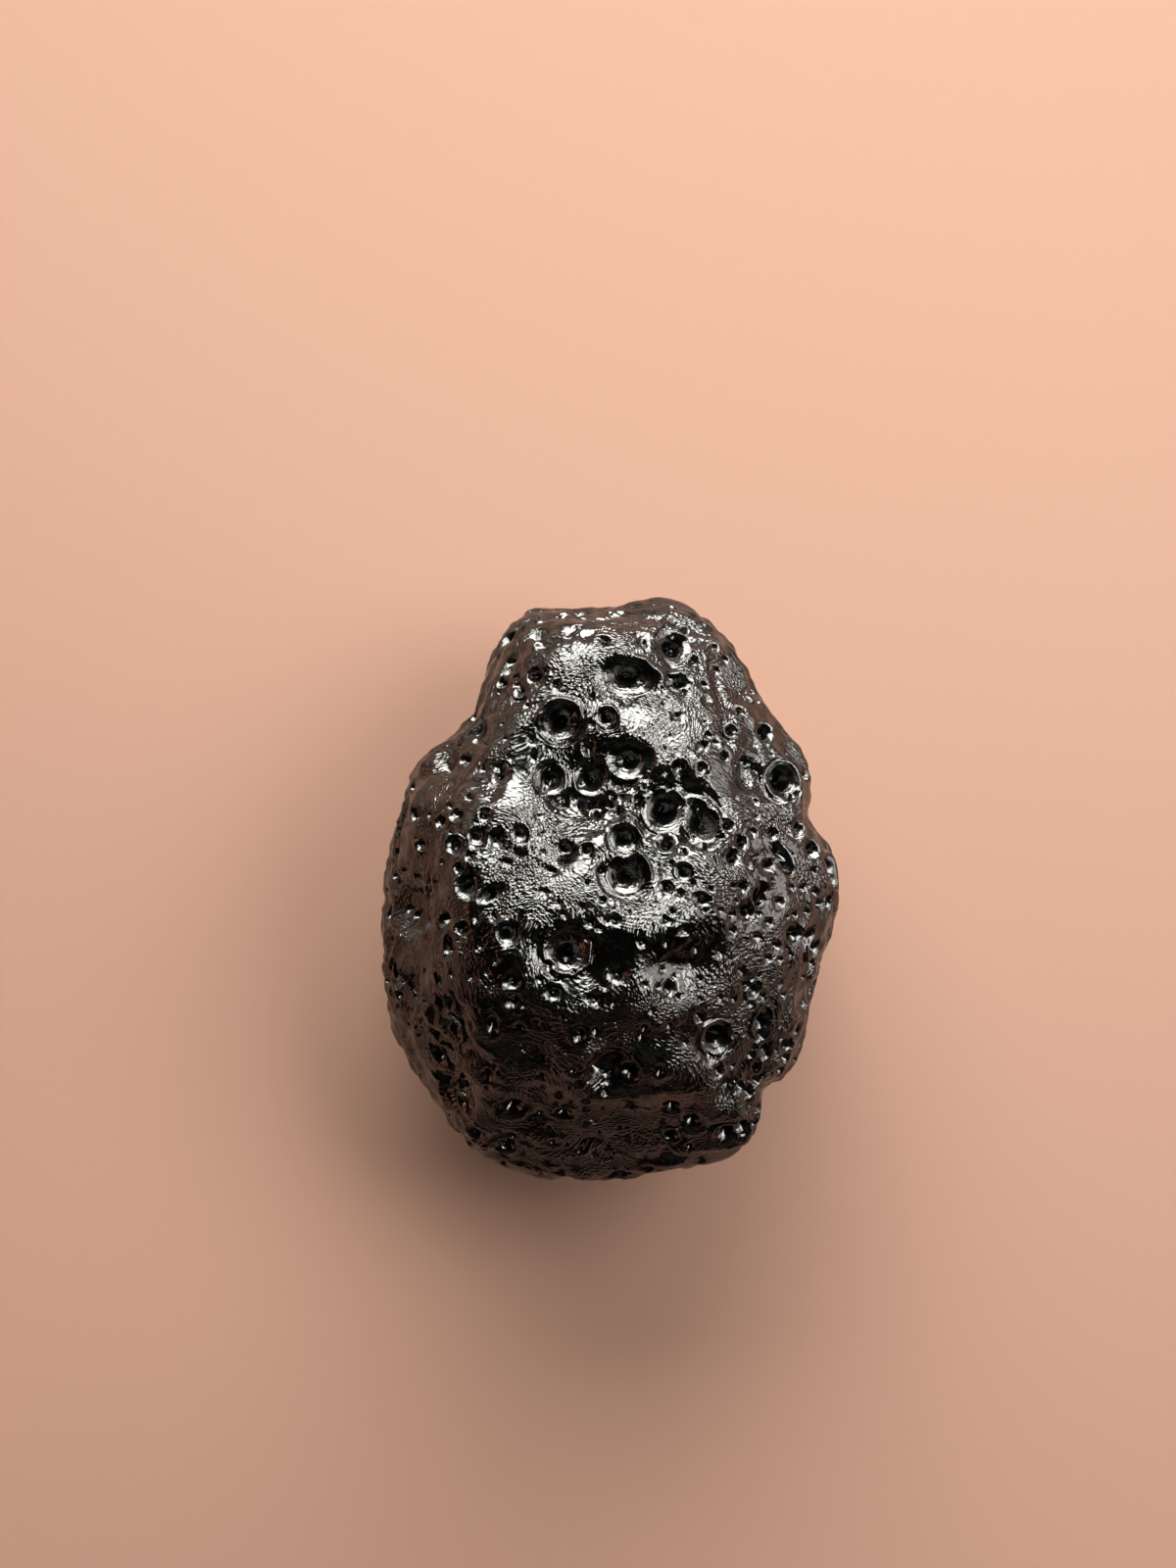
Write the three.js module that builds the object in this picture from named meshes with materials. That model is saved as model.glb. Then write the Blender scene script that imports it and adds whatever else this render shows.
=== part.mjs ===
// Tektite: one lump of natural black impact glass, pitted all over, lying on its flattest side, face up.
// Millimetres, +Z up. Seen from above, +Y points to the narrow crown and +X to the right of the face.
import * as THREE from 'three';
import { ConvexHull } from 'three/addons/math/ConvexHull.js';
import { ImprovedNoise } from 'three/addons/math/ImprovedNoise.js';

// Driving dimensions
const LENGTH = 19;
const BREADTH = 14.9;
const THICKNESS = 12.4;

// The widest outline lies level with the core, the point inside the stone that every radius starts from
const CORE_HEIGHT = 0.46 * THICKNESS;
const FACE_RISE = THICKNESS - CORE_HEIGHT;
const BACK_DROP = 1.04 * CORE_HEIGHT; // a little more than the core's height, so the rest plane cuts a flat
const SECTION_POWER = 2.8; // 2 would be an ellipse, and a larger power is squarer

// Outline seen from above, anticlockwise from the right: shares of the half breadth and half length
const OUTLINE = [
  [1, -0.01], [0.97, 0.13], [0.94, 0.19], [0.88, 0.23], [0.87, 0.35], [0.86, 0.42], [0.8, 0.51],
  [0.71, 0.62], [0.62, 0.73], [0.54, 0.83], [0.44, 0.91], [0.33, 0.98], [0.24, 1], [-0.11, 0.98],
  [-0.37, 0.97], [-0.49, 0.87], [-0.56, 0.71], [-0.59, 0.62], [-0.64, 0.56], [-0.81, 0.47], [-0.87, 0.4],
  [-0.9, 0.29], [-0.99, 0.03], [-1, -0.14], [-0.99, -0.32], [-0.95, -0.46], [-0.78, -0.69], [-0.69, -0.8],
  [-0.58, -0.89], [-0.45, -0.95], [-0.2, -1], [0.15, -0.97], [0.49, -0.91], [0.58, -0.87], [0.66, -0.8],
  [0.68, -0.75], [0.67, -0.68], [0.74, -0.64], [0.8, -0.59], [0.85, -0.46], [0.9, -0.3], [0.94, -0.19],
  [0.985, -0.11],
];
const OUTLINE_STEPS = 720;

// Blunt facets that meet in the stone's soft ridges: azimuth and elevation in degrees, and the share cut off
const FACETS = [
  [90, 75, 0.15], // upper face, which looks a little towards the crown
  [256, 63, 0.06], // lower face, which looks a little towards the foot
  [175, 72, 0.04], // left of the face
  [5, 66, 0.05], // right of the face
  [180, 30, 0.1], // left flank
  [213, 30, 0.1], // left of the foot
  [146, 33, 0.1], // left of the crown
  [95, 18, 0.05], // crown
  [37, 54, 0.14], // right shoulder, where the face rounds into the right flank
  [8, 50, 0.14],
  [334, 53, 0.13],
  [33, 38, 0.07], // right of the crown
  [5, 36, 0.05], // right flank
  [337, 40, 0.09], // right of the foot
  [268, 39, 0.16], // foot
  [60, -38, 0.12], // back
  [150, -38, 0.12],
  [200, -36, 0.13],
  [265, -36, 0.11],
  [330, -40, 0.13],
];
const RIDGE_SHARPNESS = 42;
const FACET_WAVE = 0.04; // share by which a facet's waves shift it, so that the ridges wander
const WAVES = 3.2; // waves of a facet over one radius

const LUMP_HEIGHT = 0.16;
const LUMP_SPAN = 2.6;

// Broad hollows of the face: across and along as shares, half width, half length, depth, turn in degrees, and
// for a stepped one the share of the half length that its steep crown side takes
const FACE_HOLLOWS = [
  [0.09, 0.74, 1.4, 1.4, 0.4, 0, 0.5],
  [-0.14, 0.365, 2.7, 2, 0.9, 0, 0.8],
  [-0.5, 0.42, 1.3, 1.6, 0.35, 10, 0.45],
  [0.31, 0.31, 1.9, 2, 0.55, -25, 0.5],
  [-0.3, 0.13, 2.2, 1.5, 0.25, 8, 0.45],
  [0.12, 0.12, 1.5, 1.5, 0.25, -12, 0.5],
  [-0.13, -0.2, 2.3, 1.7, 0.5, -6, 0.5],
  [0.28, -0.22, 1.9, 1.3, 0.4, -16, 0.5],
  [0.62, 0.39, 1, 0.9, 0.25, 0],
  [-0.32, -0.5, 1.7, 2, 0.3, 0],
  [0.16, -0.5, 1.8, 1.1, 0.25, 0],
  [-0.74, -0.54, 0.6, 1.3, 0.22, 30],
  [-0.8, 0.12, 0.7, 1.5, 0.25, -10],
  [-0.84, -0.28, 0.6, 1.6, 0.25, 5],
  [-0.6, 0.6, 0.8, 1.1, 0.3, 20],
  [-0.02, -0.86, 1.9, 0.6, 0.25, 5],
];

// Pits of the face: across and along as shares, radius, and for a long pit its stretch and turn in degrees
const FACE_PITS = [
  [0.27, 0.835, 0.64], [-0.2, 0.59, 0.74], [-0.01, 0.59, 0.44], [0.08, 0.705, 0.38], [0.3, 0.705, 0.38],
  [-0.31, 0.73, 0.32], [-0.38, 0.68, 0.3], [0.07, 0.45, 0.7, 1.2, 0], [-0.25, 0.38, 0.45],
  [-0.09, 0.38, 0.54], [-0.38, 0.21, 0.35], [0.23, 0.28, 0.86], [0.39, 0.24, 0.7, 1.5, -55],
  [0.3, 0.43, 0.3], [0.39, 0.43, 0.28], [0.52, 0.55, 0.3], [0.67, 0.545, 0.42], [0.74, 0.38, 0.74],
  [0.5, 0.24, 0.3], [0.7, 0.2, 0.3], [0.79, 0.23, 0.32], [0.87, 0.16, 0.38], [0.72, 0.14, 0.34, 2.1, -36],
  [0.56, 0.18, 0.32], [0.52, 0.12, 0.35], [0.06, 0.18, 0.55], [0.07, 0.08, 0.86], [0.24, 0.17, 0.45],
  [0.31, 0.08, 0.36], [0.39, -0.01, 0.28], [-0.19, 0.15, 0.32], [-0.1, 0.15, 0.3], [-0.65, 0.18, 0.38],
  [-0.56, 0.2, 0.31], [-0.47, 0.17, 0.31], [-0.72, 0.245, 0.3], [-0.605, 0.045, 0.48],
  [-0.51, -0.01, 0.32, 2, 35], [-0.43, -0.12, 0.38], [-0.68, -0.165, 0.28, 1.7, 90], [-0.19, -0.19, 0.86],
  [0.59, -0.06, 0.38], [0.65, 0, 0.32], [0.79, -0.135, 0.45], [0.965, -0.035, 0.32, 1.6, 90],
  [0.9, -0.19, 0.38, 1.3, 60], [0.455, -0.475, 0.72], [0.65, -0.45, 0.42, 1.5, 70],
  [0.62, -0.315, 0.36, 1.3, 50], [0.005, -0.59, 0.84], [0.265, -0.715, 0.45], [0.35, -0.77, 0.48],
  [0.265, -0.82, 0.36], [0.5, -0.815, 0.52], [0.575, -0.79, 0.36], [0.76, -0.51, 0.36],
  [-0.445, -0.845, 0.56], [-0.575, -0.815, 0.3, 1.5, -40], [-0.745, -0.47, 0.28, 1.9, -60],
  [-0.665, -0.445, 0.32, 1.9, -55], [-0.67, -0.35, 0.28, 1.6, 90],
];
const PIT_DEPTH = 0.62; // shares of the pit's radius

// Pits and hollows of the flanks and the back, scattered evenly with a fixed seed
const SCATTER = {
  seed: 41,
  tries: 270,
  highest: 0.42, // height of a direction above the core's level, where the listed pits of the face take over
  lowest: -0.87, // below this lies the rest face
  turnJitter: 25,
  smallest: 0.34,
  largest: 0.95,
  rareness: 2.5, // power that makes large pits rare
  longest: 0.35, // most that a pit's length passes its width, as a share
  crowding: 0.8, // nearest that two pits' middles come, as a share of their radii
  outlineBand: 0.15, // pits this close to the core's level stay small, and keep the outline
  outlineLargest: 0.4,
  hollowsBelow: -0.4,
  hollowEvery: 7,
  hollowHalfLength: 2.3,
  hollowHalfWidth: 1.85,
  hollowDepth: 0.45,
};

// Spacing of the solid's corners and the least gap between two, on plain stretches and around a pit
const PLAIN_SPACING = 0.56;
const PLAIN_GAP = 0.8 * PLAIN_SPACING;
const PIT_SPACING = 0.3;
const PIT_GAP = 0.17;
const PIT_RINGS = [0.55, 1]; // shares of the pit's radius
const WIDE_PIT = 0.55;
const WIDE_PIT_RINGS = [0.4, 0.75, 1];

const GOLDEN_TURN = 137.508; // degrees from one direction of an even spread to the next

const core = new THREE.Vector3(0, 0, CORE_HEIGHT);
const lumps = new ImprovedNoise();

function directionOf(azimuth, elevation) {
  const a = THREE.MathUtils.degToRad(azimuth);
  const e = THREE.MathUtils.degToRad(elevation);
  return new THREE.Vector3(Math.cos(e) * Math.cos(a), Math.cos(e) * Math.sin(a), Math.sin(e));
}

// Distance from the middle to the outline, for each of OUTLINE_STEPS equal turns
function outlineRadii() {
  const corners = OUTLINE.map(([u, v]) => new THREE.Vector3((u * BREADTH) / 2, (v * LENGTH) / 2, 0));
  const curve = new THREE.CatmullRomCurve3(corners, true, 'centripetal');
  const radii = new Float64Array(OUTLINE_STEPS);
  const samples = curve.getPoints(OUTLINE_STEPS * 8);
  for (const point of samples) {
    const turn = (Math.atan2(point.y, point.x) / (2 * Math.PI) + 1) % 1;
    radii[Math.floor(turn * OUTLINE_STEPS)] = Math.hypot(point.x, point.y);
  }
  return radii;
}

const rim = outlineRadii();

// Value for a direction's azimuth out of a table of OUTLINE_STEPS equal turns
function around(table, d) {
  const turn = ((Math.atan2(d.y, d.x) / (2 * Math.PI) + 1) % 1) * OUTLINE_STEPS - 0.5;
  const low = Math.floor(turn);
  const at = (i) => table[(i + OUTLINE_STEPS) % OUTLINE_STEPS];
  return THREE.MathUtils.lerp(at(low), at(low + 1), turn - low);
}

// Radius of the rounded body before its facets are cut
function bodyRadius(d) {
  const level = Math.hypot(d.x, d.y) / around(rim, d);
  const upright = Math.abs(d.z) / (d.z > 0 ? FACE_RISE : BACK_DROP);
  return (level ** SECTION_POWER + upright ** SECTION_POWER) ** (-1 / SECTION_POWER);
}

const facets = FACETS.map(([azimuth, elevation, cut], i) => {
  const normal = directionOf(azimuth, elevation);
  return { normal, distance: (1 - cut) * bodyRadius(normal), phase: i / FACETS.length };
});

function facetedRadius(d) {
  let inverse = bodyRadius(d) ** -RIDGE_SHARPNESS;
  for (const { normal, distance, phase } of facets) {
    const facing = d.dot(normal);
    if (facing <= 0) continue;
    const wave = lumps.noise(WAVES * (d.x + phase), WAVES * (d.y - phase), WAVES * d.z);
    inverse += (facing / (distance * (1 + FACET_WAVE * wave))) ** RIDGE_SHARPNESS;
  }
  return inverse ** (-1 / RIDGE_SHARPNESS);
}

// How far the faceted body must swell to reach the outline, for each of OUTLINE_STEPS equal turns
const swells = rim.map((radius, i) => {
  let widest = 0;
  for (let elevation = -40; elevation <= 40; elevation += 2) {
    const d = directionOf((360 * (i + 0.5)) / OUTLINE_STEPS, elevation);
    widest = Math.max(widest, facetedRadius(d) * Math.hypot(d.x, d.y));
  }
  return radius / widest;
});

// Radius of the stone without its pits: the faceted body, swollen to its outline, and low lumps
function stoneRadius(d) {
  const radius = facetedRadius(d) * around(swells, d) ** (1 - d.z * d.z);
  const k = radius / LUMP_SPAN;
  return radius + LUMP_HEIGHT * lumps.noise(d.x * k, d.y * k, d.z * k);
}

function stonePoint(d) {
  return d.clone().multiplyScalar(stoneRadius(d)).add(core);
}

// Direction of the point of the face that lies at these shares of the half breadth and half length
function faceDirection(across, along) {
  const x = (across * BREADTH) / 2;
  const y = (along * LENGTH) / 2;
  const azimuth = THREE.MathUtils.radToDeg(Math.atan2(y, x));
  let low = 0;
  let high = 90;
  for (let step = 0; step < 40; step += 1) {
    const middle = (low + high) / 2;
    const d = directionOf(azimuth, middle);
    const outside = stoneRadius(d) * Math.hypot(d.x, d.y) > Math.hypot(x, y);
    if (outside) low = middle;
    else high = middle;
  }
  return directionOf(azimuth, low);
}

// A dent in the surface: an oval of two half axes in the plane across its direction
function makeDent(d, halfAcross, halfAlong, depth, turn, crownShare = 1) {
  const reference = Math.abs(d.z) > 0.3 ? new THREE.Vector3(1, 0, 0) : new THREE.Vector3(0, 0, 1);
  const across = reference.addScaledVector(d, -reference.dot(d)).normalize();
  across.applyAxisAngle(d, THREE.MathUtils.degToRad(turn));
  const along = d.clone().cross(across);
  return { centre: stonePoint(d), d, across, along, halfAcross, halfAlong, depth, crownShare };
}

// How far out of the dent's oval a point is, squared: 0 in the middle and 1 on its edge
function reach(dent, point) {
  const offset = point.clone().sub(dent.centre);
  const u = offset.dot(dent.across) / dent.halfAcross;
  const lengthwise = offset.dot(dent.along);
  const v = lengthwise / (dent.halfAlong * (lengthwise > 0 ? dent.crownShare : 1));
  const w = offset.dot(dent.d) / (dent.halfAcross + dent.halfAlong);
  return u * u + v * v + w * w;
}

// Seeded random numbers from 0 to 1
function randomSource(seed) {
  let state = seed;
  return () => {
    state = (Math.imul(state, 1664525) + 1013904223) >>> 0;
    return state / 2 ** 32;
  };
}

const hollows = FACE_HOLLOWS.map(([across, along, halfWidth, halfLength, depth, turn, crownShare]) =>
  makeDent(faceDirection(across, along), halfWidth, halfLength, depth, turn, crownShare));

const pits = FACE_PITS.map(([across, along, radius, stretch = 1, turn = 0]) =>
  makeDent(faceDirection(across, along), radius * stretch, radius, PIT_DEPTH * radius, turn));

function scatterDents() {
  const random = randomSource(SCATTER.seed);
  for (let i = 0; i < SCATTER.tries; i += 1) {
    const height = 1 - (2 * (i + random())) / SCATTER.tries;
    const azimuth = i * GOLDEN_TURN + SCATTER.turnJitter * random();
    const largest = Math.abs(height) < SCATTER.outlineBand ? SCATTER.outlineLargest : SCATTER.largest;
    const radius = THREE.MathUtils.lerp(SCATTER.smallest, largest, random() ** SCATTER.rareness);
    const halfLength = radius * (1 + SCATTER.longest * random());
    const turn = 180 * random();
    if (height > SCATTER.highest || height < SCATTER.lowest) continue;
    const d = directionOf(azimuth, THREE.MathUtils.radToDeg(Math.asin(height)));
    if (i % SCATTER.hollowEvery === 0 && height < SCATTER.hollowsBelow) {
      const { hollowHalfLength, hollowHalfWidth, hollowDepth } = SCATTER;
      hollows.push(makeDent(d, hollowHalfLength, hollowHalfWidth, hollowDepth, turn));
      continue;
    }
    const place = stonePoint(d);
    const tooNear = (pit) => pit.centre.distanceTo(place) < SCATTER.crowding * (pit.halfAlong + radius);
    if (!pits.some(tooNear)) pits.push(makeDent(d, halfLength, radius, PIT_DEPTH * radius, turn));
  }
}

scatterDents();

// The finished surface in a direction: hollows add up, and pits that overlap share one floor
function surfacePoint(d) {
  const plain = stonePoint(d);
  let depth = 0;
  for (const hollow of hollows) {
    depth += hollow.depth * Math.max(0, 1 - reach(hollow, plain)) ** 2;
  }
  let deepest = 0;
  for (const pit of pits) {
    deepest = Math.max(deepest, pit.depth * Math.max(0, 1 - reach(pit, plain)));
  }
  const point = plain.addScaledVector(d, -depth - deepest);
  if (point.z > 0) return point;
  point.copy(core).addScaledVector(d, CORE_HEIGHT / -d.z);
  point.z = 0;
  return point;
}

// Directions of the solid's corners: each pit's middle and rings, widest pits first, then an even spread
function cornerDirections() {
  const directions = [];
  const places = [];
  const addCorner = (d, gap) => {
    const place = stonePoint(d);
    if (places.some((other) => other.distanceTo(place) < gap)) return;
    directions.push(d);
    places.push(place);
  };
  for (const pit of [...pits].sort((a, b) => b.halfAlong - a.halfAlong)) {
    addCorner(pit.d, PIT_GAP);
    for (const ring of pit.halfAlong > WIDE_PIT ? WIDE_PIT_RINGS : PIT_RINGS) {
      const girth = Math.PI * ring * (pit.halfAcross + pit.halfAlong);
      const count = Math.max(5, Math.round(girth / PIT_SPACING));
      for (let i = 0; i < count; i += 1) {
        const turn = (2 * Math.PI * i) / count;
        const place = pit.centre.clone();
        place.addScaledVector(pit.across, ring * pit.halfAcross * Math.cos(turn));
        place.addScaledVector(pit.along, ring * pit.halfAlong * Math.sin(turn));
        addCorner(place.sub(core).normalize(), PIT_GAP);
      }
    }
  }
  const plainCount = Math.round((Math.PI * LENGTH * BREADTH) / PLAIN_SPACING ** 2);
  for (let i = 0; i < plainCount; i += 1) {
    const height = 1 - (2 * i + 1) / plainCount;
    const d = directionOf(i * GOLDEN_TURN, THREE.MathUtils.radToDeg(Math.asin(height)));
    addCorner(d, PLAIN_GAP);
  }
  return directions;
}

// The hull of the directions joins neighbouring corners into triangles, all facing out
function stoneGeometry() {
  const directions = cornerDirections();
  const order = new Map(directions.map((d, i) => [d, i]));
  const corners = [];
  for (const face of new ConvexHull().setFromPoints(directions).faces) {
    let edge = face.edge;
    do {
      corners.push(order.get(edge.head().point));
      edge = edge.next;
    } while (edge !== face.edge);
  }
  const geometry = new THREE.BufferGeometry().setFromPoints(directions.map(surfacePoint));
  geometry.setIndex(corners);
  geometry.computeBoundingBox();
  const middle = geometry.boundingBox.getCenter(new THREE.Vector3());
  const size = geometry.boundingBox.getSize(new THREE.Vector3());
  geometry.translate(-middle.x, -middle.y, 0);
  geometry.scale(BREADTH / size.x, LENGTH / size.y, THICKNESS / size.z);
  geometry.computeVertexNormals();
  return geometry;
}

const blackGlass = new THREE.MeshStandardMaterial({ color: 0x15120f, roughness: 0.22, metalness: 0 });

const stone = new THREE.Mesh(stoneGeometry(), blackGlass);
stone.name = 'tektite';

const group = new THREE.Group();
group.add(stone);

export default group;
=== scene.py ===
import math

import bmesh
import bpy
import numpy as np
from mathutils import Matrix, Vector
from mathutils.bvhtree import BVHTree


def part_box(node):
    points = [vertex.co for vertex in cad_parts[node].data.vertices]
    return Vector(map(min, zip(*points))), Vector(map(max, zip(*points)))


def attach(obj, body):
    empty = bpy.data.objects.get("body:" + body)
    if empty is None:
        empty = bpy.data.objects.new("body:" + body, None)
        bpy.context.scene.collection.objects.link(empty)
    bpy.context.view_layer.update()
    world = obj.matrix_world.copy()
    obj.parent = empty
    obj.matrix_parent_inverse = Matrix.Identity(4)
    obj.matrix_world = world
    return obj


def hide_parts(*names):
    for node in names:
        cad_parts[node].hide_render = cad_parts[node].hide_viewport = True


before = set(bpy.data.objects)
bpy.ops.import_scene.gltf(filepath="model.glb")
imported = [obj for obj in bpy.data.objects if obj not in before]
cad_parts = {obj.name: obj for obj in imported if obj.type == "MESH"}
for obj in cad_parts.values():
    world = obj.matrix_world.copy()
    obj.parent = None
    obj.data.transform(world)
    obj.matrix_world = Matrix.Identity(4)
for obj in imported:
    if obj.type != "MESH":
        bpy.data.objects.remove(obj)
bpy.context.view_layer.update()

stoneLow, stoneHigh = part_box("tektite")
stoneSize = stoneHigh - stoneLow
stoneLength = 19  # mm
mm = stoneSize.y / stoneLength  # so all sizes follow the stone's length
scene = bpy.context.scene
print("frame loaded, stone", [round(side / mm, 2) for side in stoneSize], "mm")


# ways of wiring nodes, for geometry and materials alike

def feed(tree, socket, value):
    if isinstance(value, bpy.types.NodeSocket):
        tree.links.new(value, socket)
    else:
        socket.default_value = value


def addNode(tree, kind, inputs=None, **settings):
    made = tree.nodes.new(kind)
    for name, value in settings.items():
        setattr(made, name, value)
    for name, value in (inputs or {}).items():
        feed(tree, made.inputs[name], value)
    return made


def calc(tree, operation, *values):
    made = addNode(tree, "ShaderNodeMath", operation=operation)
    for socket, value in zip(made.inputs, values):
        feed(tree, socket, value)
    return made.outputs[0]


def vectorCalc(tree, operation, *values):
    made = addNode(tree, "ShaderNodeVectorMath", operation=operation)
    for socket, value in zip(made.inputs, values):
        feed(tree, socket, value)
    return made.outputs["Value" if operation in ("DOT_PRODUCT", "LENGTH") else "Vector"]


def scaled(tree, vector, factor):
    made = addNode(tree, "ShaderNodeVectorMath", {"Vector": vector, "Scale": factor}, operation="SCALE")
    return made.outputs["Vector"]


def mapped(tree, value, low, high, toLow=0.0, toHigh=1.0):
    return addNode(tree, "ShaderNodeMapRange", {
        "Value": value, "From Min": low, "From Max": high, "To Min": toLow, "To Max": toHigh,
    }).outputs["Result"]


def noise(tree, place, width, detail=1.0, roughness=0.5, distortion=0.0):
    return addNode(tree, "ShaderNodeTexNoise", {
        "Vector": place, "Scale": calc(tree, "DIVIDE", 1.0, width), "Detail": detail,
        "Roughness": roughness, "Distortion": distortion,
    })


def cells(tree, place, width, smoothness=0.35):
    return addNode(tree, "ShaderNodeTexVoronoi", {
        "Vector": place, "Scale": calc(tree, "DIVIDE", 1.0, width), "Smoothness": smoothness,
    }, feature="SMOOTH_F1").outputs["Distance"]


def centred(tree, value, middle=0.5):
    return calc(tree, "SUBTRACT", value, middle)


def opposite(tree, share):
    return calc(tree, "SUBTRACT", 1.0, share)


def blended(tree, share, first, second):
    return addNode(tree, "ShaderNodeMix", {"Factor": share, "A": first, "B": second}).outputs["Result"]


def upwardPart(tree, vector):
    return addNode(tree, "ShaderNodeSeparateXYZ", {"Vector": vector}).outputs["Z"]


def stored(tree, kind, name):
    made = addNode(tree, "GeometryNodeInputNamedAttribute", {"Name": name}, data_type=kind)
    return made.outputs["Attribute"]


def store(tree, geometry, kind, name, value):
    made = addNode(tree, "GeometryNodeStoreNamedAttribute", {
        "Geometry": geometry, "Name": name, "Value": value}, data_type=kind)
    return made.outputs["Geometry"]


def picked(tree, points, kind, field, index):
    made = addNode(tree, "GeometryNodeSampleIndex", {
        "Geometry": points, "Value": field, "Index": index}, data_type=kind)
    return made.outputs["Value"]


def moved(tree, geometry, offset):
    made = addNode(tree, "GeometryNodeSetPosition", {"Geometry": geometry, "Offset": offset})
    return made.outputs["Geometry"]


def newTree(name, inputs):
    tree = bpy.data.node_groups.new(name, "GeometryNodeTree")
    tree.interface.new_socket("Geometry", in_out="INPUT", socket_type="NodeSocketGeometry")
    for label, kind in inputs:
        tree.interface.new_socket(label, in_out="INPUT", socket_type="NodeSocket" + kind)
    tree.interface.new_socket("Material", in_out="INPUT", socket_type="NodeSocketMaterial")
    tree.interface.new_socket("Geometry", in_out="OUTPUT", socket_type="NodeSocketGeometry")
    return tree, tree.nodes.new("NodeGroupInput").outputs


def closeTree(tree, geometry, given):
    rounded = addNode(tree, "GeometryNodeSetShadeSmooth", {"Geometry": geometry})
    whole = addNode(tree, "GeometryNodeRealizeInstances", {"Geometry": rounded.outputs["Geometry"]})
    coated = addNode(tree, "GeometryNodeSetMaterial", {
        "Geometry": whole.outputs["Geometry"], "Material": given["Material"]})
    feed(tree, tree.nodes.new("NodeGroupOutput").inputs["Geometry"], coated.outputs["Geometry"])
    return tree


def applyTree(piece, tree, values):
    modifier = piece.modifiers.new(tree.name, "NODES")
    modifier.node_group = tree
    for socket in tree.interface.items_tree:
        if socket.in_out == "INPUT" and socket.name in values:
            modifier[socket.identifier] = values[socket.name]
    bakeModifiers(piece)
    print(tree.name, "done,", len(piece.data.vertices), "points")


# inputs that keep their numbers, where the others are in mm
notLengths = ("Rareness", "Depth", "Rim Roll", "Highest", "Seed", "Flank Start", "Flank Full")


def inMillimetres(values):
    sizes = {name: value if name in notLengths else value * mm for name, value in values.items()}
    if "Density" in sizes:
        sizes["Density"] = values["Density"] / mm ** 2  # given for a square mm
    return sizes


def bakeModifiers(piece):
    depsgraph = bpy.context.evaluated_depsgraph_get()
    plain = bpy.data.meshes.new_from_object(piece.evaluated_get(depsgraph))
    piece.modifiers.clear()
    piece.data = plain


# the stone's blank: the solid with its facets smoothed

blankLook = {
    "levels": 3,  # of subdivision
    "weld": 0.002,  # mm, corners this close are one
}


def makeBlank():
    blank = bpy.data.objects.new("tektiteStone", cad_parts["tektite"].data.copy())
    scene.collection.objects.link(blank)
    solid = bmesh.new()
    solid.from_mesh(blank.data)
    bmesh.ops.remove_doubles(solid, verts=solid.verts, dist=blankLook["weld"] * mm)
    surface = BVHTree.FromBMesh(solid)
    solid.to_mesh(blank.data)
    solid.free()
    smooth = blank.modifiers.new("smooth", "SUBSURF")
    smooth.levels = smooth.render_levels = blankLook["levels"]
    bakeModifiers(blank)
    print("blank smoothed,", len(blank.data.vertices), "points")
    return blank, surface


# low relief of the glass before its pits, in mm: swirls and hammered hollows all over,
# and on the flanks furrows, lumps and pebbles

relief = {
    "Swirl Width": 0.9, "Swirl Height": 0.09,
    "Hammer Width": 0.42, "Hammer Height": 0.02,
    "Furrow Width": 0.7, "Furrow Height": 0.62,
    "Furrow Bend": 1.6, "Bend Width": 2.6,
    "Lump Width": 0.75, "Lump Height": 0.28,
    "Pebble Width": 0.5, "Pebble Height": 0.09,
    "Patch Width": 2.4,  # of the patches with more pebbles
    "Flank Start": 0.86, "Flank Full": 0.56,  # upward part of the normal where flanks begin and are in full
}

restFlat = {"bareBelow": 0.02, "fullAbove": 0.3}  # mm over the flat that the stone rests on
hammerMiddle = 0.45  # taken off the hammering, so that it neither swells nor thins the stone
alongLevels = (0.2, 0.2, 1)  # makes furrows five times as long as they are wide


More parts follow.
